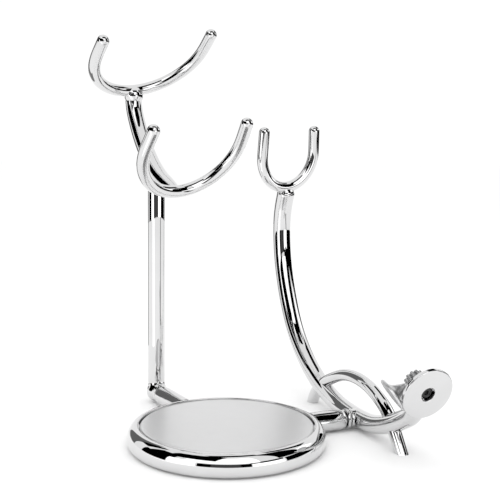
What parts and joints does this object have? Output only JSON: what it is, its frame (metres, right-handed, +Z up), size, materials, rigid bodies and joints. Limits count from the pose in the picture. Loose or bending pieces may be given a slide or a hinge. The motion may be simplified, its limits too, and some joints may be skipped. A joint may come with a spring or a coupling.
{
  "type": "razor stand",
  "caption": "Chromed desk stand on a weighted round base: a post with two wide brush forks and a curved side arm with a narrow razor fork, disc and arched feet.",
  "frame": {"origin": "middle of the base's underside, at table height", "axes": "+X from the base along the side tab towards the razor arm, +Y towards the back where the post stands, +Z up"},
  "size_m": [0.0901, 0.1195, 0.1345],
  "materials": {
    "chrome": "polished chrome plating",
    "plate": "polished, faintly brushed chrome",
    "steel": "plain machined steel",
    "rubber": "matt non-slip rubber"
  },
  "bodies": {
    "base": {"base_rim": "chrome", "side_tab": "chrome", "side_collar": "chrome", "side_boss": "chrome", "rear_elbow": "chrome", "razor_arm": "chrome", "razor_ferrule": "chrome", "razor_fork": "chrome", "leg_arch": "chrome", "front_foot": "chrome", "back_foot": "chrome", "disc_nut": "chrome", "knob_block": "chrome", "base_plate": "plate", "base_weight": "steel", "side_tab_screw": "steel", "rear_tab_screw": "steel", "post_stud": "steel", "side_stud": "steel", "disc_screw": "steel", "base_pad": "rubber"},
    "rear_stand": {"post": "chrome", "arm_stud": "steel", "fork_arm": "chrome", "fork_set_screw": "chrome", "upper_ferrule": "chrome", "upper_fork": "chrome", "lower_fork": "chrome"},
    "disc": {"rest_disc": "chrome"},
    "knob": {"lock_knob": "chrome"}
  },
  "joints": [
    {"name": "post_swivel", "type": "hinge", "parent": "base", "child": "rear_stand", "pos_m": [-0.00674, 0.05338, 0.04], "axis": [0, 0, 1], "range_deg": [-25, 25]},
    {"name": "disc_spin", "type": "hinge", "parent": "base", "child": "disc", "pos_m": [0.0466, -0.0392, 0.0215], "axis": [0, -0.9438, -0.3305], "continuous": true},
    {"name": "knob_turn", "type": "hinge", "parent": "base", "child": "knob", "pos_m": [0.03978, -0.03119, 0.02009], "axis": [-0.7771, 0.208, -0.594], "continuous": true}
  ]
}
